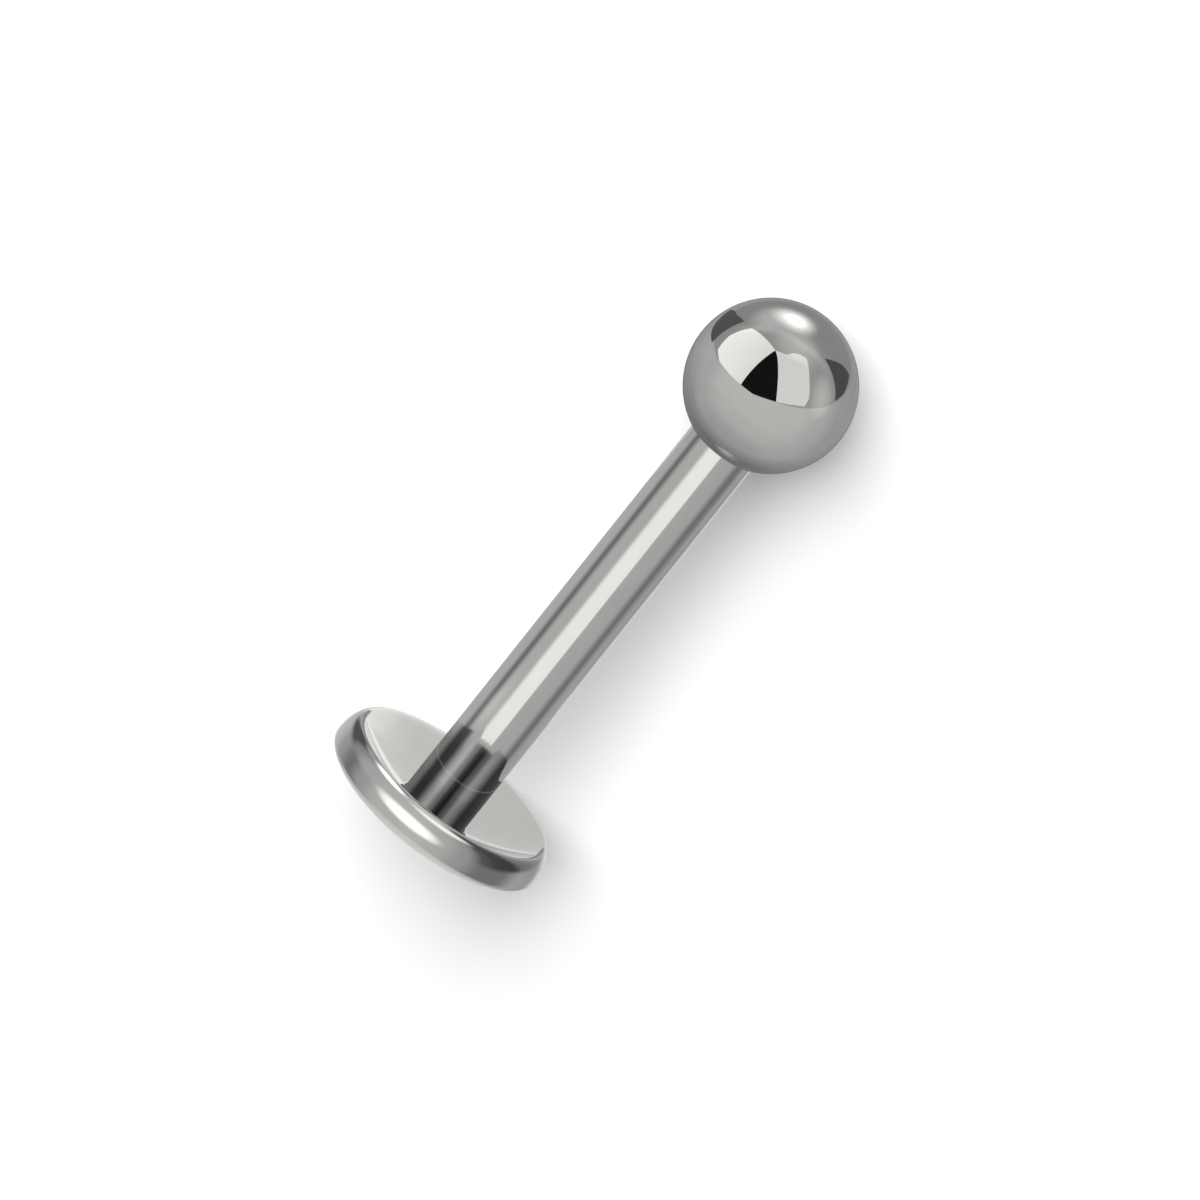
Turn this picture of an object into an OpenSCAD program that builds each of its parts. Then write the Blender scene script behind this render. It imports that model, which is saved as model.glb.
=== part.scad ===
// Labret stud: a straight bar with a dished disc on one end and a ball that screws onto the other.
// It is modelled as it lies by itself, on its side: the rim of the disc and the ball touch the
// surface, so the bar falls a few degrees towards the ball. The post alone is drawn along +Z,
// from the underside of the disc, and is laid down at the end.

/* [Bar] */
// Thickness of the bar, sold as 16 gauge
bar_d = 1.27; // [1:0.01:1.8]
// Length that can be worn, from the rim of the disc to the mouth of the ball, sold as 8 mm
wear_length = 7.8; // [5:0.1:14]

/* [Disc] */
// Width across the disc at its widest
disc_d = 4.3; // [3.4:0.1:6]
// Height of the rim above the widest line
rim_height = 0.5; // [0.3:0.05:0.8]
// How far the rim draws in from the widest line to its edge
rim_draw = 0.25; // [0.1:0.05:0.4]
// Depth of the domed underside below the widest line
dome_depth = 0.45; // [0.2:0.05:0.8]
// Width of the small flat in the middle of the underside
flat_d = 0.7; // [0.4:0.1:1.6]
// Thickness of the metal under the middle of the hollow
floor_t = 0.3; // [0.2:0.05:0.45]

/* [Screw post] */
// Length of the post that goes into the ball
post_length = 1.8; // [1.2:0.1:2.1]
// Width of the shoulder where the bar steps down to the post
shoulder_w = 0.13; // [0.08:0.01:0.2]
// Bevel on the end of the post and on the shoulder
post_bevel = 0.06; // [0.02:0.01:0.07]

/* [Ball] */
// Width across the ball
ball_d = 3; // [2.8:0.1:5]
// How far the end of the bar sits inside the mouth of the ball
seat_depth = 0.1; // [0.05:0.01:0.25]
// Space past the end of the post before the drill point starts
bore_spare = 0.15; // [0.1:0.05:0.3]

/* [Clearances] */
// Gap all round the post in its bore
bore_gap = 0.03; // [0.02:0.01:0.06]
// Gap all round the bar in the mouth of the ball, and under its shoulder
seat_gap = 0.03; // [0.02:0.01:0.06]

/* [Hidden] */
$fn = 96;
// Straight lines in each quarter of the disc's outline
quarter_steps = 10;
// Half the point angle of the drill that made the bore
drill_half_angle = 59;

bar_r = bar_d / 2;
post_r = bar_r - shoulder_w;
disc_r = disc_d / 2;
ball_r = ball_d / 2;
bore_r = post_r + bore_gap;
seat_r = bar_r + seat_gap;

// Heights along the bar, from the underside of the disc
disc_t = dome_depth + rim_height;
mouth = disc_t + wear_length;
shoulder = mouth + seat_depth;
post_end = shoulder + post_length;
ball_centre = mouth + sqrt(ball_r * ball_r - seat_r * seat_r);
bore_end = post_end + bore_spare;
stud_length = ball_centre + ball_r;

// The hollow is part of a sphere through the edge of the rim
rim_r = disc_r - rim_draw;
hollow_depth = disc_t - floor_t;
hollow_r = (rim_r * rim_r + hollow_depth * hollow_depth) / (2 * hollow_depth);

// Angle that the bar falls towards the ball, where the rim and the ball touch one plane
reach = ball_centre - dome_depth;
fall = acos(ball_r / norm([disc_r, reach])) - atan2(reach, disc_r);
lying_x = -stud_length / 2 * cos(fall);
lying_z = disc_r * cos(fall) + dome_depth * sin(fall);

// Points along the quarter ellipse about (x, z) that begins at an angle, without its first point
function quarter(x, z, across, high, begin) =
    [for (i = [1:quarter_steps]) let (t = begin + 90 * i / quarter_steps)
        [x + across * cos(t), z + high * sin(t)]];

// Half outline of the disc before it is hollowed: flat, dome, widest line, rim
function disc_outline() = concat(
    [[0, 0], [flat_d / 2, 0]],
    quarter(flat_d / 2, dome_depth, disc_r - flat_d / 2, dome_depth, -90),
    quarter(rim_r, dome_depth, rim_draw, rim_height, 0),
    [[0, disc_t]]);

module disc() {
    difference() {
        rotate_extrude() polygon(disc_outline());
        translate([0, 0, floor_t + hollow_r]) sphere(r = hollow_r);
    }
}

// The bar starts inside the disc's floor and steps down to the post at the shoulder
module bar_and_post() {
    rotate_extrude() polygon([
        [0, floor_t / 2],
        [bar_r, floor_t / 2],
        [bar_r, shoulder - post_bevel],
        [bar_r - post_bevel, shoulder],
        [post_r, shoulder],
        [post_r, post_end - post_bevel],
        [post_r - post_bevel, post_end],
        [0, post_end]]);
}

// Turns the upright stud onto its side, ball towards +X
module lying() {
    translate([lying_x, 0, lying_z]) rotate([0, 90 + fall, 0]) children();
}

module labret_post() {
    color("silver") lying() union() {
        disc();
        bar_and_post();
    }
}

// Blind bore with a drill point, and a wider mouth that the end of the bar sits in
module ball_bore() {
    below = mouth - ball_r;
    translate([0, 0, below])
        cylinder(r = seat_r, h = shoulder + seat_gap - below);
    translate([0, 0, mouth]) cylinder(r = bore_r, h = bore_end - mouth);
    translate([0, 0, bore_end])
        cylinder(r1 = bore_r, r2 = 0, h = bore_r / tan(drill_half_angle));
}

module ball() {
    color("gainsboro") lying() difference() {
        translate([0, 0, ball_centre]) sphere(r = ball_r);
        ball_bore();
    }
}

labret_post();
ball();
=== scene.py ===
from math import acos, asin, atan2, cos, degrees, hypot, pi, radians, sin, sqrt, tan

import bpy
from mathutils import Matrix, Vector


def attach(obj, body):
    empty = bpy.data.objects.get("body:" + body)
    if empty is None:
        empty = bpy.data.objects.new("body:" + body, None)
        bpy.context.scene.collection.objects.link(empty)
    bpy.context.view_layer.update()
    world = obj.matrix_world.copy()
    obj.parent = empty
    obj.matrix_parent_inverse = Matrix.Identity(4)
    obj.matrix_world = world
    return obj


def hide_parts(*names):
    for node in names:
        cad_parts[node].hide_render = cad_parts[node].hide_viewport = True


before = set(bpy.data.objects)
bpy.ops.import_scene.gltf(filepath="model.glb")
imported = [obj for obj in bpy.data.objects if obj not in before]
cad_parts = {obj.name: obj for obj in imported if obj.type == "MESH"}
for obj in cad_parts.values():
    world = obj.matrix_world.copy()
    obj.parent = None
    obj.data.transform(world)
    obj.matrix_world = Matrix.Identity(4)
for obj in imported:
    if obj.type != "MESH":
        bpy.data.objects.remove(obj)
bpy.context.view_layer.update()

# Post: a straight 16 gauge bar of 316L surgical steel with a dished disc soldered on at its foot. The rim of
# the disc is rounded over and its face is hollowed down to the bar. The far end of the bar is cut down to a
# shoulder and a fine thread, and the ball screws on over it.
mm = 0.001               # metres. The sizes are in millimetres, as in the part's source.
bar_r = 1.27 / 2
wear_length = 7.8        # from the edge of the rim to the mouth of the ball
disc_r = 4.3 / 2
rim_height = 0.5
rim_draw = 0.25          # how far the rim draws in from the widest line to its edge
dome_depth = 0.45        # of the disc's back
flat_r = 0.7 / 2         # the small flat in the middle of the back
floor_t = 0.3            # the metal under the middle of the hollow
post_length = 1.8
shoulder_w = 0.13
post_bevel = 0.06
thread_pitch = 0.25      # M1.2 x 0.25, the usual thread of a 16 gauge bar
thread_depth = 0.11
ball_r = 3.0 / 2
seat_depth = 0.1         # how far the end of the bar sits inside the mouth
seat_gap = 0.03

post_r = bar_r - shoulder_w
seat_r = bar_r + seat_gap
rim_r = disc_r - rim_draw

# Heights along the bar, from the back of the disc.
disc_t = dome_depth + rim_height
mouth = disc_t + wear_length
shoulder = mouth + seat_depth
post_end = shoulder + post_length
ball_middle = mouth + sqrt(ball_r**2 - seat_r**2)
stud_length = ball_middle + ball_r

# The hollow is part of a sphere through the edge of the rim. It meets the bar at the bar's foot.
hollow_depth = disc_t - floor_t
hollow_r = (rim_r**2 + hollow_depth**2) / (2 * hollow_depth)
hollow_middle = floor_t + hollow_r
hollow_foot = hollow_middle - sqrt(hollow_r**2 - bar_r**2)

# The stud lies on its side: the rim of the disc and the ball touch the table, so the bar falls to the ball.
reach = ball_middle - dome_depth
fall = acos(ball_r / hypot(disc_r, reach)) - atan2(reach, disc_r)
lying_at = Vector((-stud_length / 2 * cos(fall), 0, disc_r * cos(fall) + dome_depth * sin(fall))) * mm
lying_turn = Matrix.Rotation(pi / 2 + fall, 3, "Y")
upright_turn = lying_turn.inverted()


def arc(middle, height, across, high, begin, end, steps):
    """Points (radius, height) on part of an ellipse, angles in degrees."""
    turns = [radians(begin + (end - begin) * i / steps) for i in range(steps + 1)]
    return [Vector((middle + across * cos(t), height + high * sin(t))) for t in turns]


def line(start, end, steps):
    """Points (radius, height) on a straight line, both ends included."""
    return [Vector(start).lerp(Vector(end), i / steps) for i in range(steps + 1)]


def broken_edge(before, after, ease, steps=5):
    """Joins two runs of points at their shared corner, with the corner rounded off over ease on each side."""
    def back_off(points):
        left = ease
        for n in range(1, len(points)):
            step = (points[n] - points[n - 1]).length
            if step > left:
                return points[n - 1].lerp(points[n], left / step), n
            left -= step
        return points[-1], len(points)
    corner = after[0]
    start, gone_before = back_off(before[::-1])
    end, gone_after = back_off(after)
    bend = []
    for i in range(steps + 1):
        t = i / steps
        bend.append(start.lerp(corner, t).lerp(corner.lerp(end, t), t))
    return before[:len(before) - gone_before] + bend + after[gone_after:]


def put(tree, kind, wires=None, **settings):
    """Adds a node with its settings. wires gives an input a value, or the node or output that feeds it."""
    node = tree.nodes.new(kind)
    for name, value in settings.items():
        setattr(node, name, value)
    for socket, value in (wires or {}).items():
        if isinstance(value, bpy.types.Node):
            value = value.outputs[0]
        if isinstance(value, bpy.types.NodeSocket):
            tree.links.new(value, node.inputs[socket])
        else:
            node.inputs[socket].default_value = value
    return node


# The lathe: an outline of points (radius, 0, height) is carried round the bar's axis, the thread is cut as
# a helix between its two heights, and the piece is laid down where the CAD has it.
steps_round = 160
weld = 1e-7              # metres: points closer than this are one, which closes the seam and the poles
sharp_from = 40          # degrees: the shading breaks at edges sharper than this
lathe = bpy.data.node_groups.new("turned_on_the_lathe", "GeometryNodeTree")
lathe_in = {}
for kind, names in (
    ("NodeSocketGeometry", ["Outline"]),
    ("NodeSocketInt", ["Outline points", "Steps round"]),
    ("NodeSocketFloat", ["Thread pitch", "Thread depth", "Thread foot", "Thread end"]),
    ("NodeSocketVector", ["Lying turn", "Lying place"]),
    ("NodeSocketMaterial", ["Steel"]),
):
    for name in names:
        lathe_in[name] = lathe.interface.new_socket(name=name, in_out="INPUT", socket_type=kind)
lathe.interface.new_socket(name="Piece", in_out="OUTPUT", socket_type="NodeSocketGeometry")
given = put(lathe, "NodeGroupInput").outputs

# A sheet with a row for each point of the outline and a column for each step round.
rows = given["Outline points"]
columns = put(lathe, "FunctionNodeIntegerMath", {0: given["Steps round"], 1: 1}, operation="ADD")
sheet = put(lathe, "GeometryNodeMeshGrid", {"Vertices X": columns, "Vertices Y": rows})
index = put(lathe, "GeometryNodeInputIndex")
row = put(lathe, "FunctionNodeIntegerMath", {0: index, 1: rows}, operation="MODULO")
column = put(lathe, "FunctionNodeIntegerMath", {0: index, 1: rows}, operation="DIVIDE_FLOOR")
where = put(lathe, "GeometryNodeInputPosition")
on_outline = put(lathe, "GeometryNodeSampleIndex",
                 {"Geometry": given["Outline"], "Value": where, "Index": row},
                 data_type="FLOAT_VECTOR", domain="POINT")
drawn = put(lathe, "ShaderNodeSeparateXYZ", {0: on_outline}).outputs
share_round = put(lathe, "ShaderNodeMath", {0: column, 1: given["Steps round"]}, operation="DIVIDE")

# The thread's groove is a V that climbs one pitch in each turn. It fades out over a pitch at both ends.
turns_up = put(lathe, "ShaderNodeMath", {0: drawn["Z"], 1: given["Thread pitch"]}, operation="DIVIDE")
helix = put(lathe, "ShaderNodeMath", {0: turns_up, 1: share_round}, operation="SUBTRACT")
half_groove = put(lathe, "ShaderNodeMath", {0: helix, 1: 0.5}, operation="PINGPONG")
groove = put(lathe, "ShaderNodeMath", {0: half_groove, 1: 2.0}, operation="MULTIPLY")
from_foot = put(lathe, "ShaderNodeMath", {0: drawn["Z"], 1: given["Thread foot"]}, operation="SUBTRACT")
to_end = put(lathe, "ShaderNodeMath", {0: given["Thread end"], 1: drawn["Z"]}, operation="SUBTRACT")
nearer = put(lathe, "ShaderNodeMath", {0: from_foot, 1: to_end}, operation="MINIMUM")
fade = put(lathe, "ShaderNodeMath", {0: nearer, 1: given["Thread pitch"]}, operation="DIVIDE", use_clamp=True)
faded = put(lathe, "ShaderNodeMath", {0: groove, 1: fade}, operation="MULTIPLY")
cut = put(lathe, "ShaderNodeMath", {0: faded, 1: given["Thread depth"]}, operation="MULTIPLY")
radius = put(lathe, "ShaderNodeMath", {0: drawn["X"], 1: cut}, operation="SUBTRACT")

angle = put(lathe, "ShaderNodeMath", {0: share_round, 1: 2 * pi}, operation="MULTIPLY")
cosine = put(lathe, "ShaderNodeMath", {0: angle}, operation="COSINE")
sine = put(lathe, "ShaderNodeMath", {0: angle}, operation="SINE")
along_x = put(lathe, "ShaderNodeMath", {0: radius, 1: cosine}, operation="MULTIPLY")
along_y = put(lathe, "ShaderNodeMath", {0: radius, 1: sine}, operation="MULTIPLY")
carried = put(lathe, "ShaderNodeCombineXYZ", {0: along_x, 1: along_y, 2: drawn["Z"]})
formed = put(lathe, "GeometryNodeSetPosition", {"Geometry": sheet, "Position": carried})
closed = put(lathe, "GeometryNodeMergeByDistance", {"Geometry": formed, "Distance": weld})
shaded = put(lathe, "GeometryNodeSetShadeSmooth", {"Geometry": closed})
laid = put(lathe, "GeometryNodeTransform",
           {"Geometry": shaded, "Translation": given["Lying place"], "Rotation": given["Lying turn"]})
real = put(lathe, "GeometryNodeRealizeInstances", {0: laid})
clad = put(lathe, "GeometryNodeSetMaterial", {"Geometry": real, "Material": given["Steel"]})
put(lathe, "NodeGroupOutput", {0: clad})


def turned(name, outline, steel, cut_depth=0.0, cut_foot=0.0, cut_end=1.0):
    """A piece turned on the lathe from its outline, a list of (radius, height) in mm, as a plain mesh.

    cut_depth is the depth of its thread, which runs from the height cut_foot to cut_end.
    """
    drawing = bpy.data.meshes.new(name + "_outline")
    drawing.from_pydata([(p[0] * mm, 0, p[1] * mm) for p in outline],
                        [(i, i + 1) for i in range(len(outline) - 1)], [])
    piece = bpy.data.objects.new(name, drawing)
    bpy.context.scene.collection.objects.link(piece)
    work = piece.modifiers.new("lathe", "NODES")
    work.node_group = lathe
    for socket, value in (
        ("Outline points", len(outline)), ("Steps round", steps_round), ("Thread pitch", thread_pitch * mm),
        ("Thread depth", cut_depth * mm), ("Thread foot", cut_foot * mm), ("Thread end", cut_end * mm),
        ("Lying turn", (0, pi / 2 + fall, 0)), ("Lying place", lying_at), ("Steel", steel),
    ):
        work[lathe_in[socket].identifier] = value
    bpy.context.view_layer.update()
    plain = bpy.data.meshes.new_from_object(piece.evaluated_get(bpy.context.evaluated_depsgraph_get()))
    piece.modifiers.clear()
    piece.data = plain
    plain.name = name
    # The lathe leaves an empty slot ahead of the steel, so the list of materials is made anew.
    plain.materials.clear()
    plain.materials.append(steel)
    for face in plain.polygons:
        face.material_index = 0
    plain.set_sharp_from_angle(angle=radians(sharp_from))
    return piece


def linear(hex_code):
    """An sRGB hex colour as linear numbers."""
    parts = [int(hex_code[i:i + 2], 16) / 255 for i in (1, 3, 5)]
    return tuple([p / 12.92 if p <= 0.04045 else ((p + 0.055) / 1.055)**2.4 for p in parts] + [1])


def stainless(name, colour, dull, bright, ring_gap, ring_height, wave_height):
    """316L stainless steel, turned and then polished: a near mirror with a faint warm grey of its own.

    The roughness wanders between bright and dull, as the buffing wheel left it. What is left of the turning
    is fine rings round the bar, ring_gap apart, and shallow waves that soften the edges of the reflections.
    Gaps and heights are in mm.
    """
    patch = 0.8              # mm across, where the wheel bit more or less
    ring_length = 50 / 3     # mm, so long that a ring runs on all the way round
    hair_length = 1 / 1.4    # mm
    hair_gap = 1 / 30        # mm
    steel = bpy.data.materials.new(name)
    steel.use_nodes = True
    tree = steel.node_tree
    tree.nodes.clear()
    here = put(tree, "ShaderNodeTexCoord").outputs["Object"]
    # The pattern is set upright, with the stud's own axis as Z.
    stud = put(tree, "ShaderNodeMapping",
               {"Vector": here, "Location": -(upright_turn @ lying_at), "Rotation": (0, -(pi / 2 + fall), 0)})
    patches = put(tree, "ShaderNodeTexNoise", {"Vector": stud, "Scale": 1 / (patch * mm), "Detail": 3.0})
    # The real rings are a few thousandths apart, too fine to show, and are drawn coarser.
    along_ring = 1 / (ring_length * mm)
    drawn_out = put(tree, "ShaderNodeMapping",
                    {"Vector": stud, "Scale": (along_ring, along_ring, 1 / (ring_gap * mm))})
    rings = put(tree, "ShaderNodeTexNoise", {"Vector": drawn_out, "Scale": 1.0, "Detail": 2.0})
    # Hairline scratches from handling lie slantwise over the rings and only dull the polish a little.
    along_hair = 1 / (hair_length * mm)
    across_hair = 1 / (hair_gap * mm)
    slanted = put(tree, "ShaderNodeMapping",
                  {"Vector": stud, "Rotation": (0.7, 0.4, 1.1),
                   "Scale": (along_hair, across_hair, along_hair)})
    hairs = put(tree, "ShaderNodeTexNoise", {"Vector": slanted, "Scale": 1.0, "Detail": 1.0})
    hair_lines = put(tree, "ShaderNodeMapRange",
                     {"Value": hairs, "From Min": 0.62, "From Max": 0.72, "To Max": (dull - bright) * 0.8})
    spread = put(tree, "ShaderNodeMapRange",
                 {"Value": patches, "From Min": 0.3, "From Max": 0.7, "To Min": bright, "To Max": dull})
    polish = put(tree, "ShaderNodeMath", {0: spread, 1: hair_lines}, operation="ADD")
    tone = put(tree, "ShaderNodeMapRange",
               {"Value": patches, "From Min": 0.2, "From Max": 0.8, "To Min": 0.97, "To Max": 1.03})
    grey = put(tree, "ShaderNodeCombineColor", {0: tone, 1: tone, 2: tone})
    # Sockets 6 and 7 are the Mix node's two colours.
    shade = put(tree, "ShaderNodeMix", {"Factor": 1.0, 6: linear(colour), 7: grey},
                data_type="RGBA", blend_type="MULTIPLY")
    waves = put(tree, "ShaderNodeBump", {"Height": patches, "Strength": 1.0, "Distance": wave_height * mm})
    relief = put(tree, "ShaderNodeBump",
                 {"Height": rings, "Strength": 1.0, "Distance": ring_height * mm, "Normal": waves})
    shader = put(tree, "ShaderNodeBsdfPrincipled",
                 {"Base Color": shade.outputs[2], "Metallic": 1.0, "Roughness": polish, "Normal": relief})
    put(tree, "ShaderNodeOutputMaterial", {0: shader})
    return steel


bar_steel = stainless("polished_316L_bar", "#cfcfcd", dull=0.09, bright=0.05,
                      ring_gap=0.03, ring_height=0.000002, wave_height=0.00003)

curve_steps = 32
bar_steps = 40
thread_steps = 110       # about 16 to a pitch
rim_ease = 0.035         # the rim's inner edge, taken off by the buffing wheel
solder_fillet = 0.05     # where the bar stands in the hollow
thread_start = 0.02      # above the shoulder
thread_past = 0.1        # past the end of the post, so the last turn is still cut there
dome = [Vector((0, 0))] + arc(flat_r, dome_depth, disc_r - flat_r, dome_depth, -90, 0, curve_steps)
rim = arc(rim_r, dome_depth, rim_draw, rim_height, 0, 90, curve_steps)
half_wide = degrees(atan2(rim_r, hollow_r - hollow_depth))
narrow = degrees(atan2(bar_r, hollow_middle - hollow_foot))
hollow = arc(0, hollow_middle, hollow_r, hollow_r, half_wide - 90, narrow - 90, curve_steps)
bar = line((bar_r, hollow_foot), (bar_r, shoulder - post_bevel), bar_steps)
step = line((bar_r - post_bevel, shoulder), (post_r, shoulder), 2)
threaded = line((post_r, shoulder), (post_r, post_end - post_bevel), thread_steps)
tip = line((post_r - post_bevel, post_end), (0, post_end), 3)
outside = broken_edge(dome[:-1] + rim, hollow, rim_ease)
outside = broken_edge(outside, bar, solder_fillet)
post_outline = outside + step + threaded[1:] + tip

post = turned("labret_post_turned", post_outline, bar_steel, thread_depth,
              shoulder + thread_start, post_end + thread_past)
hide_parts("labret_post")
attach(post, "post")

# Ball: a 3 mm bead of the same steel, turned and tumbled to a mirror. It is bored and tapped from one
# side, with a shallow seat at the mouth that takes the end of the bar, and it screws down on the post.
ball_steel = stainless("mirror_316L_ball", "#cfcfcd", dull=0.035, bright=0.02,
                       ring_gap=0.05, ring_height=0.0000004, wave_height=0.00001)
# The bore is rough as the tap left it, and painted dark grey as painted shade in the narrow hole.
shaded_bore_steel = stainless("tapped_316L_bore", "#565654", dull=0.55, bright=0.45,
                       ring_gap=thread_pitch, ring_height=0.01, wave_height=0.00005)

bore_gap = 0.03
bore_spare = 0.15        # past the end of the post
drill_tip = 59           # half the angle of the drill's tip, in degrees
skin_steps = 96
mouth_ease = 0.02
rounding = 0.001         # allowed when a face's place is read
bore_r = post_r + bore_gap
bore_end = post_end + bore_spare
drill_end = bore_end + bore_r / tan(radians(drill_tip))
seat_floor = shoulder + seat_gap
mouth_angle = degrees(atan2(mouth - ball_middle, seat_r))
skin = arc(0, ball_middle, ball_r, ball_r, mouth_angle, 90, skin_steps)
skin[-1] = Vector((0, ball_middle + ball_r))
seat = line((bore_r, seat_floor), (seat_r, seat_floor), 2) + [Vector((seat_r, mouth))]
bore = [Vector((0, drill_end))] + line((bore_r, bore_end), (bore_r, seat_floor), 12)
ball = turned("ball_turned", bore[:-1] + broken_edge(seat, skin, mouth_ease), ball_steel)
ball.data.materials.append(shaded_bore_steel)
for face in ball.data.polygons:
    spot = upright_turn @ (face.center - lying_at) / mm
    if hypot(spot.x, spot.y) < seat_r + rounding and spot.z < drill_end:
        face.material_index = 1
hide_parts("ball")
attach(ball, "ball")

# Table: a sheet of matt white board that the stud lies on. It carries on past the picture on all sides.
# The steel doesn't mirror it; what the steel mirrors is the studio's cards and grey room, which follow.
half_table = 1.5         # metres
pulp_grain = 7.5         # mm, faint clouds in the paper
corners = [(-half_table, -half_table, 0), (half_table, -half_table, 0),
           (half_table, half_table, 0), (-half_table, half_table, 0)]
table_mesh = bpy.data.meshes.new("table")
table_mesh.from_pydata(corners, [], [(0, 1, 2, 3)])
table = bpy.data.objects.new("table", table_mesh)
bpy.context.scene.collection.objects.link(table)
white_board = bpy.data.materials.new("matt_white_board")
white_board.use_nodes = True
tree = white_board.node_tree
tree.nodes.clear()
here = put(tree, "ShaderNodeTexCoord").outputs["Object"]
pulp = put(tree, "ShaderNodeTexNoise", {"Vector": here, "Scale": 1 / (pulp_grain * mm), "Detail": 4.0})
pulp_tone = put(tree, "ShaderNodeMapRange",
                {"Value": pulp, "To Min": linear("#ececec")[0], "To Max": linear("#efefef")[0]})
pulp_grey = put(tree, "ShaderNodeCombineColor", {0: pulp_tone, 1: pulp_tone, 2: pulp_tone})
paper = put(tree, "ShaderNodeBsdfDiffuse", {"Color": pulp_grey})
put(tree, "ShaderNodeOutputMaterial", {0: paper})
table.data.materials.append(white_board)
table.visible_glossy = False

# Studio: a soft lamp high on the picture's upper left throws the shadow, and a second one without a shadow
# fills in the table. Round the stud stand cards of board and gauze that only the steel mirrors. The ball and
# the post each have their own, as when the two ends of a small bright object are lit and shot apart.
axis = (lying_turn @ Vector((0, 0, 1))).normalized()       # along the bar, towards the ball
camera_side = Vector((-axis.z, 0, axis.x))                 # square to the bar, on the camera's side
picture_right = axis.cross(camera_side)
lens_lean = radians(17.7)                                  # from square to the bar, towards the ball's end
lens_side = camera_side * cos(lens_lean) + axis * sin(lens_lean)
rim_place = lying_at + axis * disc_t * mm
ball_place = lying_at + axis * ball_middle * mm

# The room is a dim fill for the table, white where the camera sees past it, and mid grey in the steel.
room_fill = (0.12, 0.12, 0.12, 1)
room_backdrop = (1.1, 1.1, 1.1, 1)
room_in_steel = (0.5, 0.5, 0.5, 1)
room = bpy.data.worlds.new("white_room")
bpy.context.scene.world = room
room.use_nodes = True
room.cycles.sampling_method = "NONE"
tree = room.node_tree
tree.nodes.clear()
ray = put(tree, "ShaderNodeLightPath").outputs
seen = put(tree, "ShaderNodeMix", {"Factor": ray["Is Camera Ray"], 6: room_fill, 7: room_backdrop},
           data_type="RGBA")
mirrored = put(tree, "ShaderNodeMix", {"Factor": ray["Is Glossy Ray"], 6: seen.outputs[2], 7: room_in_steel},
               data_type="RGBA")
glow = put(tree, "ShaderNodeBackground", {0: mirrored.outputs[2], 1: 1.0})
put(tree, "ShaderNodeOutputWorld", {0: glow})

for name, strength, spread, stands, tint, shades in (
    ("soft_lamp", 4.1, 60, (0.6, 0.43, 1), "#ffffff", True),
    ("fill_lamp", 0.6, 10, (0, 0, 1), "#fffaf5", False),
):
    lamp = bpy.data.lights.new(name, "SUN")
    lamp.energy = strength
    lamp.angle = radians(spread)
    lamp.color = linear(tint)[:3]
    lamp.use_shadow = shades
    stand = bpy.data.objects.new(name, lamp)
    stand.rotation_mode = "QUATERNION"
    stand.rotation_quaternion = Vector(stands).to_track_quat("Z", "Y")
    stand.visible_glossy = False
    bpy.context.scene.collection.objects.link(stand)


def towards(azimuth, height):
    """A direction, in degrees: azimuth round the bar from the camera's side, height towards the ball."""
    around = camera_side * cos(radians(azimuth)) + picture_right * sin(radians(azimuth))
    return around * cos(radians(height)) + axis * sin(radians(height))


def between(one, other):
    """The angle between two directions, in degrees."""
    return degrees(acos(max(-1, min(1, one.dot(other)))))


def smooth(t):
    """0 below 0 and 1 above 1, with a smooth run between."""
    t = min(1, max(0, t))
    return t * t * (3 - 2 * t)


def eased(stops, at):
    """The value at a place between stops of (place, value), with a smooth run from one to the next."""
    for (a, low), (b, high) in zip(stops, stops[1:]):
        if at <= b:
            return low + (high - low) * smooth((at - a) / (b - a))
    return stops[-1][1]


def glowing(name, see_through=False, one_sided=False, lit_behind=False):
    """A finish for cards that gives off the tone their points carry. A veil is see-through.

    A one-sided card is clear from behind. Where it is lit behind too, it gives off its points' second tone
    there, as far as their cover says that it is solid.
    """
    made = bpy.data.materials.new(name)
    made.use_nodes = True
    made.cycles.emission_sampling = "NONE"
    tree = made.node_tree
    tree.nodes.clear()
    warm_white = linear("#fffffe")
    tone = put(tree, "ShaderNodeAttribute", attribute_name="tone").outputs["Fac"]
    light = put(tree, "ShaderNodeEmission", {"Color": warm_white, "Strength": tone})
    clear = put(tree, "ShaderNodeBsdfTransparent")
    if see_through:
        light = put(tree, "ShaderNodeAddShader", {0: light, 1: clear})
    if one_sided:
        behind = clear
        if lit_behind:
            tone_behind = put(tree, "ShaderNodeAttribute", attribute_name="tone_behind").outputs["Fac"]
            cover = put(tree, "ShaderNodeAttribute", attribute_name="cover").outputs["Fac"]
            light_behind = put(tree, "ShaderNodeEmission", {"Color": warm_white, "Strength": tone_behind})
            behind = put(tree, "ShaderNodeMixShader", {0: cover, 1: clear, 2: light_behind})
        back = put(tree, "ShaderNodeNewGeometry").outputs["Backfacing"]
        light = put(tree, "ShaderNodeMixShader", {0: back, 1: light, 2: behind})
    put(tree, "ShaderNodeOutputMaterial", {0: light})
    return made


board = glowing("lit_board")
veil = glowing("lit_veil", see_through=True)
front_board = glowing("lit_board_front", one_sided=True)
front_veil = glowing("lit_veil_front", see_through=True, one_sided=True, lit_behind=True)
lights_only = {}
for piece in (post, ball):
    lights_only[piece.name] = bpy.data.collections.new("lights_only_" + piece.name)
    lights_only[piece.name].objects.link(piece)


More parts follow.
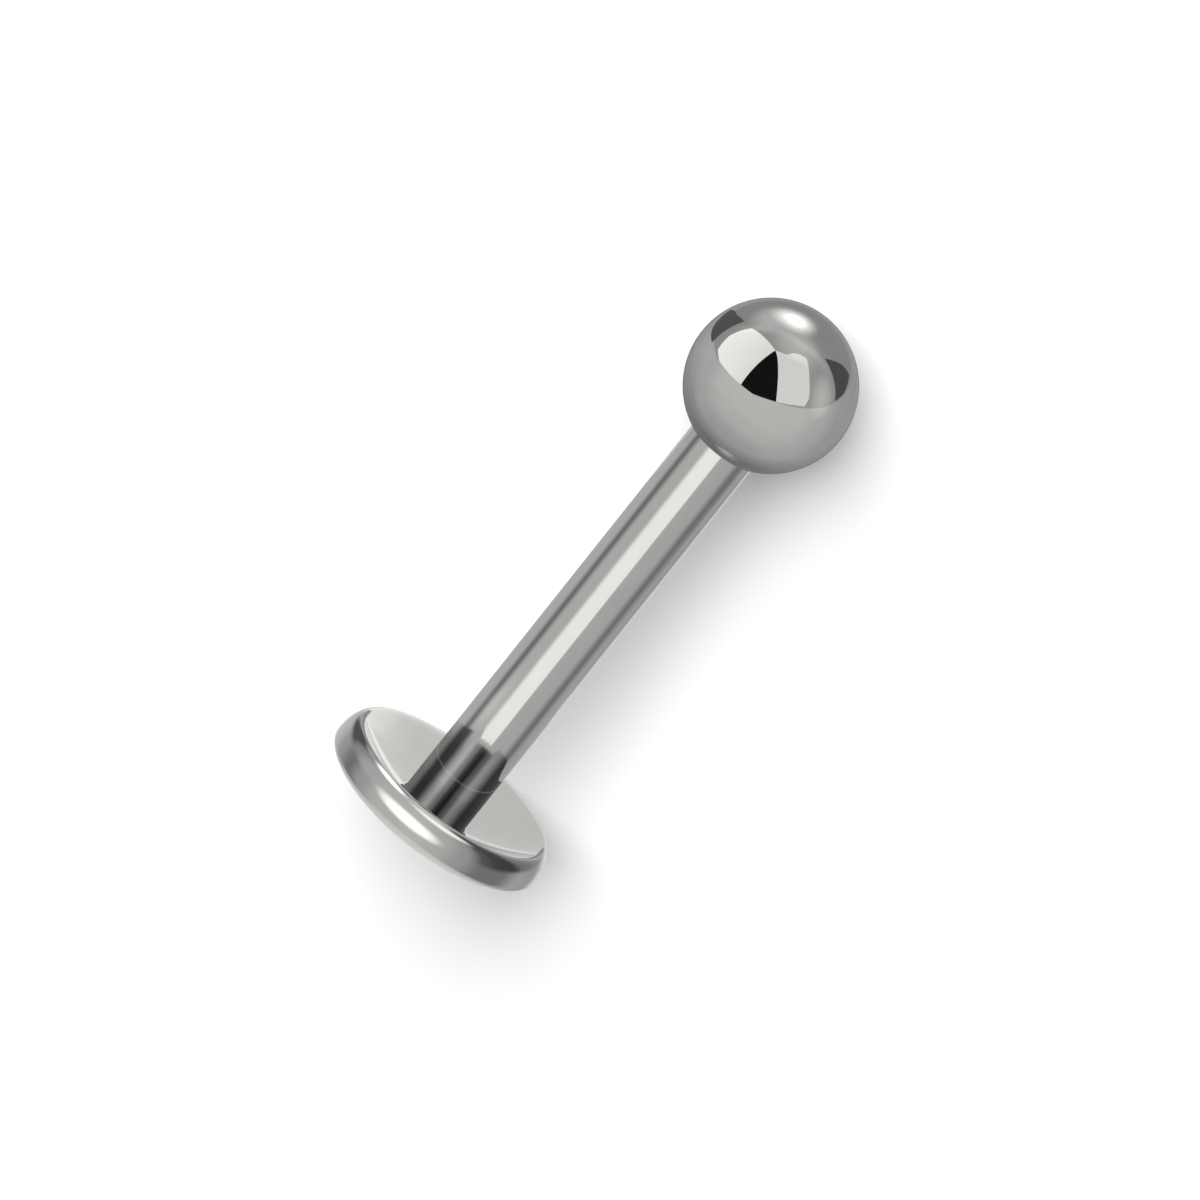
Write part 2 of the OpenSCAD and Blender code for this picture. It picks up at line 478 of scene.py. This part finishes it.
def card(name, points, faces, tones, finish, piece, **more):
    """A studio card that only the steel mirrors, and that lights one piece. To the other a board is black."""
    mesh = bpy.data.meshes.new(name)
    mesh.from_pydata(points, [], faces)
    for kind, values in {"tone": tones, **more}.items():
        on_points = mesh.attributes.new(kind, "FLOAT", "POINT")
        for i, value in enumerate(values):
            on_points.data[i].value = max(0.0, value)
    mesh.materials.append(finish)
    made = bpy.data.objects.new(name, mesh)
    bpy.context.scene.collection.objects.link(made)
    made.visible_camera = False
    made.visible_diffuse = False
    made.visible_shadow = False
    made.visible_transmission = False
    made.light_linking.receiver_collection = lights_only[piece.name]


def grid_faces(rows, columns):
    """The faces of a card whose points come row by row."""
    return [(j * columns + i, (j + 1) * columns + i, (j + 1) * columns + i + 1, j * columns + i + 1)
            for j in range(rows - 1) for i in range(columns - 1)]


def window(name, corners, tones, far=80):
    """A card with straight sides, far mm from the ball, with a tone for each corner or one for all."""
    count = len(corners)
    if len(tones) == 1:
        tones = tones * count
    points = [ball_place + towards(a, h) * far * mm for a, h in corners]
    points.append(sum(points, Vector()) / count)
    faces = [(i, (i + 1) % count, count) for i in range(count)]
    card(name, points, faces, tones + [sum(tones) / count], board, ball)


def soft_spot(name, azimuth, height, wide, high, rings, far=70):
    """A veil with soft edges for the ball: rings of (share of its size, tone) from the middle out."""
    middle = towards(azimuth, height)
    side = middle.cross(axis).normalized()
    rise = side.cross(middle).normalized()
    steps = 24
    points = [ball_place + middle * far * mm]
    tones = [rings[0][1]]
    faces = []
    for n, (share, tone) in enumerate(rings[1:]):
        for i in range(steps):
            t = 2 * pi * i / steps
            spot = middle + side * (radians(wide) * share * cos(t)) + rise * (radians(high) * share * sin(t))
            points.append(ball_place + spot * far * mm)
            tones.append(tone)
            here = 1 + n * steps + i
            there = 1 + n * steps + (i + 1) % steps
            faces.append((here - steps, here, there, there - steps) if n else (0, here, there))
    card(name, points, faces, tones, veil, ball)


def soft_band(name, places, wide, tone, far=72):
    """A veil along a line of directions for the ball, brightest along its middle and gone at its edges."""
    middles = [towards(a, h) for a, h in places]
    points = []
    tones = []
    for n, middle in enumerate(middles):
        on = middles[min(n + 1, len(middles) - 1)] - middles[max(n - 1, 0)]
        side = middle.cross(on).normalized() * radians(wide)
        fade = min(1, n / 1.5, (len(middles) - 1 - n) / 1.5)
        for share in (-1, -0.5, 0, 0.5, 1):
            points.append(ball_place + (middle + side * share) * far * mm)
            tones.append(tone * fade * (1 - share * share)**2)
    card(name, points, grid_faces(len(middles), 5), tones, veil, ball)


# The ball's surround: plain below a line that slants across it, darker above, and darker towards the back.
# The stops give its tone from the back, -1, to the camera's side, 1.
slant = axis - picture_right * 0.246 + camera_side * 0.113
slant_level = 0.1
lower_stops = [(-1, 0.40), (-0.5, 0.46), (0, 0.58), (0.6, 0.70), (1, 0.72)]
upper_stops = [(-1, 0.34), (-0.5, 0.35), (0, 0.43), (0.6, 0.46), (1, 0.47)]
# Painted reflections: where the bar's dark image and a glint beside it are painted into the ball's surround.
painted_bar_reflection = towards(178, -49)
glint_in_ball = towards(172, -65)


def ball_room(a, h):
    """The tone of the ball's surround at an azimuth and height, with a painted reflection of the bar and its
    glint.
    """
    direction = towards(a, h)
    above = direction.dot(slant) > slant_level
    tone = eased(upper_stops if above else lower_stops, direction.dot(camera_side))
    tone *= eased([(-0.99, 0.6), (-0.93, 1)], direction.dot(lens_side))
    if above:
        return tone
    # Below the line it is a little paler on the left and darker low down. It holds a painted reflection of
    # the bar, a soft dark patch, with a painted glint beside it.
    tone += 0.09 * smooth(1 - abs(a + 115) / 38) * smooth((h + 35) / 20)
    tone *= 1 - 0.2 * smooth((-h - 35) / 40)
    tone *= eased([(0, 0.46), (14, 0.54), (30, 0.8), (46, 1)], between(direction, painted_bar_reflection))
    return tone + 0.42 * smooth(1 - between(direction, glint_in_ball) / 9)


def line_height(a):
    """How high the slanting line runs at an azimuth, found by halving."""
    low = -40.0
    high = 40.0
    for _ in range(30):
        h = (low + high) / 2
        if towards(a, h).dot(slant) > slant_level:
            high = h
        else:
            low = h
    return h


# One half of the surround runs from the line down to the pole behind the disc, the other up to the pole past
# the ball. Each takes its tones just off the line, on its own side.
ball_room_far = 90
turns = [-180 + 3 * i for i in range(121)]
off_shares = [i / 14 for i in range(15)]
for name, off_line, pole in (("surround_below", -0.02, -90), ("surround_above", 0.02, 90)):
    points = []
    tones = []
    for share in off_shares:
        for a in turns:
            start = line_height(a)
            h = start + (pole - start) * share
            points.append(ball_place + towards(a, h) * ball_room_far * mm)
            tones.append(ball_room(a, h + off_line))
    card(name, points, grid_faces(len(off_shares), len(turns)), tones, board, ball)

# What else the ball mirrors: a window on each side of a black flag, two dark corners, a round lamp behind,
# and a pale hoop over the top. Corners are (azimuth, height).
window("window_left", [(-76, -9), (-91, -4.5), (-97, 10), (-96, 33), (-39, 53), (-31, -7.5)],
       [1.3, 1.36, 1.34, 1.32, 1.07, 1.12])
flag_right = [(-25, 50), (-12, 43), (0, 32), (10, 18), (18, 4.5)]
window("black_flag", [(-39, 53)] + flag_right + [(-12, -6), (-31, -7.5)], [0.01])
window("window_right", [(-39, 53), (-18, 61), (-8, 70), (15, 74), (44, 72), (52, 45), (57, 26), (55, 16)]
       + flag_right[::-1], [0.98], far=81)
window("dark_right", [(103, 22), (105, 33), (108, 50), (114, 63), (128, 52), (138, 38), (143, 23), (123, 22)],
       [0.1])
window("dark_left", [(-109, -8), (-110, 9), (-112, 23), (-130, 11), (-145, 2), (-155, -5), (-132, -8)],
       [0.12])
soft_spot("round_lamp", -149, 55, 21, 27, [(0, 1.7), (0.28, 1.3), (0.5, 0.65), (0.75, 0.22), (1, 0)])
soft_spot("lamp_glow", -135, 49, 38, 30, [(0, 0.36), (0.5, 0.26), (0.8, 0.09), (1, 0)])
soft_spot("pole_glow", -20, 82, 36, 30, [(0, 0.25), (0.5, 0.16), (1, 0)])
soft_spot("side_glow", 79, 29, 19, 28, [(0, 0.24), (0.55, 0.15), (1, 0)])
soft_band("hoop", [(-101, 12), (-98, 24), (-94, 38), (-90, 52), (-87, 64), (-85, 76), (-60, 84), (60, 86),
                   (95, 74), (97, 60), (98, 45)], 8, 0.12)

# The post's surround: grey walls with a dark gap on each side, darker higher up, as stops of (azimuth, tone).
# The rim lights are soft strips and dark corners, each with azimuth, height, half width, half height, tone.
low_walls = [(-180, 0.62), (-140, 0.64), (-118, 0.45), (-94, 0.25), (-71, 0.48), (-47, 0.65), (0, 0.68),
             (24, 0.62), (47, 0.46), (71, 0.25), (94, 0.25), (117, 0.5), (140, 0.43), (163, 0.85),
             (180, 0.85)]
high_walls = [(-180, 0.28), (-157, 0.5), (-145, 0.12), (-119, 0.12), (-104, 0.36), (-77, 0.57), (-40, 0.66),
              (0, 0.68), (27, 0.6), (50, 0.44), (72, 0.13), (88, 0.08), (107, 0.07), (124, 0.24), (145, 0.33),
              (165, 0.6), (180, 0.4)]
rim_lights = [
    (-14, 7, 46, 16.5, 1.65), (-12, 1, 40, 9.5, 1.6), (-92, 60, 58, 16, 2.1), (22, 60, 66, 17, 1.4),
    (-125, 47, 32, 11, 0.5), (-164, 51, 13, 9, 1.5), (108, 52, 30, 14, 0.1),
]


def post_room(a, h):
    """The tone of the post's surround at an azimuth and height. The rim and back of the disc mirror it."""
    tone = eased(low_walls, a)
    tone += (eased(high_walls, a) - tone) * smooth((h + 1) / 12)
    # Plain towards the ball, where the walls meet behind, and behind the disc.
    tone += (0.85 - tone) * smooth((h - 72) / 10)
    tone += (0.74 - tone) * smooth((-h - 4) / 16) * smooth((abs(a) - 135) / 35)
    tone += (0.85 - tone) * smooth((-h - 30) / 45)
    for middle, height, wide, high, target in rim_lights:
        off = hypot((a - middle) / wide, (h - height) / high)
        tone += (target - tone) * smooth((1 - off) * 1.7)
    return tone


# The rows of heights lie closer together where the rim lights begin.
post_room_far = 60
fine_turns = [-180 + 1.5 * i for i in range(241)]
wall_rows = [-90 + 3 * i for i in range(27)] + [-9 + i for i in range(24)] + [15 + 3 * i for i in range(26)]
walls = [(a, h) for h in wall_rows for a in fine_turns]
card("surround_for_post", [rim_place + towards(a, h) * post_room_far * mm for a, h in walls],
     grid_faces(len(wall_rows), len(fine_turns)), [post_room(a, h) for a, h in walls], veil, post)

# Two wide boards lie square to the bar at the rim of the disc, one for each piece, with a collar that goes
# down round the bar's foot. The post's board carries dark streaks, a painted reflection of the disc's hollow
# and rim, which the bar mirrors at its foot, and a strip light further out. The hollow mirrors its lower
# side.
# The ball's board carries on the ball's surround.
# The streaks are a painted reflection of the disc's hollow and rim, as stops of (azimuth, tone).
streaks = [(-180, 0.24), (-122, 0.27), (-88, 0.05), (-70, 0.055), (-29, 0.62), (-12, 0.28), (4, 0.055),
           (14, 0.02), (31, 0.14), (49, 0.39), (94, 0.05), (122, 0.07), (150, 0.13), (180, 0.24)]


def hollow_room(a, r):
    """The tone of the board's lower side, which the hollow mirrors. It is paler near the rim at the back."""
    if a < 0:
        tone = eased([(-180, 0.82), (-150, 0.84), (-138, 0.88), (-120, 1.04), (-100, 1.1), (-40, 0.9),
                      (0, 0.85)], a)
        return tone + (1.2 - tone) * smooth((r - 1.79) / 0.16) * smooth((-100 - a) / 12)
    tone = eased([(0, 0.85), (60, 0.76), (180, 0.77)], a)
    return tone + (0.98 - tone) * smooth((r - 1.85) / 0.2) * smooth((a - 120) / 12)


def hollow_cover(a, r):
    """How solid the board's lower side is: out to 1.8 mm on the camera's side, and further out behind."""
    edge = 1.8 + 1.4 * smooth((abs(a) - 92) / 40)
    return smooth((edge - r) / 0.08)


def disc_reflection_at_foot(a, share):
    """The painted reflection of the disc's hollow and rim that the bar mirrors at its foot. On the left the
    dark runs out slowly.
    """
    return eased(streaks, a) * (1 + 0.8 * smooth((share - 0.33) / 0.67) * smooth((-a - 35) / 20))


def bar_room(a, lit):
    """What the bar mirrors: grey walls, a dark gap on each side and, where lit, the strip light between."""
    tone = eased([(-180, 0.5), (-120, 0.6), (-60, 0.62), (0, 0.6), (60, 0.56), (120, 0.5), (180, 0.5)], a)
    tone += (0.22 - tone) * smooth(1 - abs(a + 86) / 22)
    tone += (0.24 - tone) * smooth(1 - abs(a - 88) / 27)
    strip = eased([(-39, 0), (-23, 0.98), (-10, 1), (16, 0.97), (19, 0)], a)
    return tone + (1.26 - tone) * strip * lit


def dark_width(a):
    """How wide the board's dark part is in mm: widest on the camera's side, less so under the strip light."""
    width = 2.265 + 0.6 * (1 + cos(radians(a))) - 0.43 * smooth(4 - abs(a - 7) / 9)
    return width - 1.15 * smooth((a - 85) / 27)


def seen_in_ball(spot):
    """The tone of the ball's surround in the direction of a spot, as the ball mirrors it to the lens."""
    gaze = spot - ball_place
    for _ in range(8):
        facing = (gaze.normalized() + lens_side).normalized()
        gaze = spot - ball_place - facing * ball_r * mm
    azimuth = degrees(atan2(gaze.dot(picture_right), gaze.dot(camera_side)))
    return ball_room(azimuth, degrees(asin(max(-1, min(1, gaze.normalized().dot(axis))))))


def seen_in_bar(a, r):
    """The azimuth that a spot at azimuth a and radius r seems to have when the bar mirrors it to the lens."""
    seems = a
    for _ in range(8):
        seems = a + degrees(asin(min(1, bar_r / r) * sin(radians(seems / 2))))
    return seems


# Each row of the board has a radius, its share of the dark part's width, which is over 1 past the dark part,
# and its drop below the board.
collar_start = 0.02      # how far inside the bar the collar begins
collar_width = 0.27
collar_drop = 0.7
dark_drop = 0.21         # from this drop down the collar is at its darkest
# The hollow's bright edge is painted into the board as a hair line, a painted reflection for the bar's foot.
painted_edge_r = 1.39            # the bright edge of the hollow, mirrored as a hair line across the foot of the bar
painted_edge_width = 0.03
dark_r = 1.45            # from here out the rows follow the dark part's width
board_rows = [(bar_r - collar_start + collar_width * i / 6, 0, collar_drop * (1 - i / 6)) for i in range(7)]
board_rows += [(r, 0, 0) for r in (1.0, 1.12, 1.24, painted_edge_r - painted_edge_width, painted_edge_r, painted_edge_r + painted_edge_width)]
board_rows += [(dark_r, i / 34, 0) for i in range(35)]
board_rows += [(dark_r, share, 0) for share in (1.001, 1.125, 1.144, 1.375, 1.625, 2, 2.9, 7, 13)]


def wide_board(name, z, finish, piece):
    """A ring square to the bar at height z, with a collar round its foot. The ball's is closed inside."""
    points = []
    tones = []
    tones_behind = []
    covers = []
    rows = ([(0.01, 0, collar_drop)] if piece is ball else []) + board_rows
    for row_r, share, drop in rows:
        for a in fine_turns:
            r = row_r + (bar_r + dark_width(a) - dark_r) * share
            spot = lying_at + axis * (z - drop) * mm + towards(a, 0) * r * mm
            points.append(spot)
            tones_behind.append(hollow_room(a, r))
            covers.append(0 if drop else hollow_cover(a, r))
            if piece is ball:
                tones.append(seen_in_ball(spot))
                continue
            seems = seen_in_bar(a, r)
            if share <= 1:
                # A painted reflection of the disc's hollow and rim, darker down the collar, plus the painted
                # hair line of its edge.
                hair = 0.25 if row_r == painted_edge_r else 0
                tones.append(disc_reflection_at_foot(seems, share) * (1 - 0.22 * smooth(drop / dark_drop)) + hair)
            else:
                low_glow = 0.17 * smooth(1 - abs(share - 1.75) / 1.1) * smooth(1 - abs(seems + 62) / 38)
                tones.append(bar_room(seems, share > 1.14) + low_glow)
    card(name, points, grid_faces(len(rows), len(fine_turns)), tones, finish, piece,
         tone_behind=tones_behind, cover=covers)


# The post's veil lies just over the ball's board, which is black to the post, so the two read as one.
wide_board("wide_board_for_ball", disc_t + 0.02, front_board, ball)
wide_board("wide_board_for_post", disc_t + 0.026, front_veil, post)

# The pieces don't mirror themselves or each other. The cards hold painted reflections of what they would
# mirror.
post.visible_glossy = False
ball.visible_glossy = False

# Camera: a long lens that looks down on the stud from the ball's end, turned so that the bar slants up to
# the right. It stands far off for so small a thing, so the near and far ends have nearly the same scale.
width_px = 1200
scale_px = 58.5          # pixels to the millimetre at the stud
middle_right_px = 11.5   # the stud's middle lies this far right of the picture's middle
middle_up_px = 14.2      # and this far above it
camera_height = radians(67.9)
picture_slant = radians(51.45)
outward = Vector((cos(camera_height), 0, sin(camera_height)))
along = Vector((sin(camera_height), 0, -cos(camera_height)))
across = Vector((0, -1, 0))
right = along * cos(picture_slant) + across * sin(picture_slant)
up = along * sin(picture_slant) - across * cos(picture_slant)
lens = bpy.data.cameras.new("camera")
lens.lens = 400
lens.sensor_width = 36
lens.clip_start = 0.01
lens.clip_end = 10
middle = (rim_place + ball_place) / 2
aim = middle - right * (middle_right_px / scale_px * mm) - up * (middle_up_px / scale_px * mm)
distance = width_px / scale_px * mm * lens.lens / lens.sensor_width
turn = Matrix((right, up, outward)).transposed().to_4x4()
camera = bpy.data.objects.new("camera", lens)
camera.matrix_world = Matrix.Translation(aim + outward * distance) @ turn
bpy.context.scene.collection.objects.link(camera)
bpy.context.scene.camera = camera
bpy.context.scene.view_settings.view_transform = "Standard"
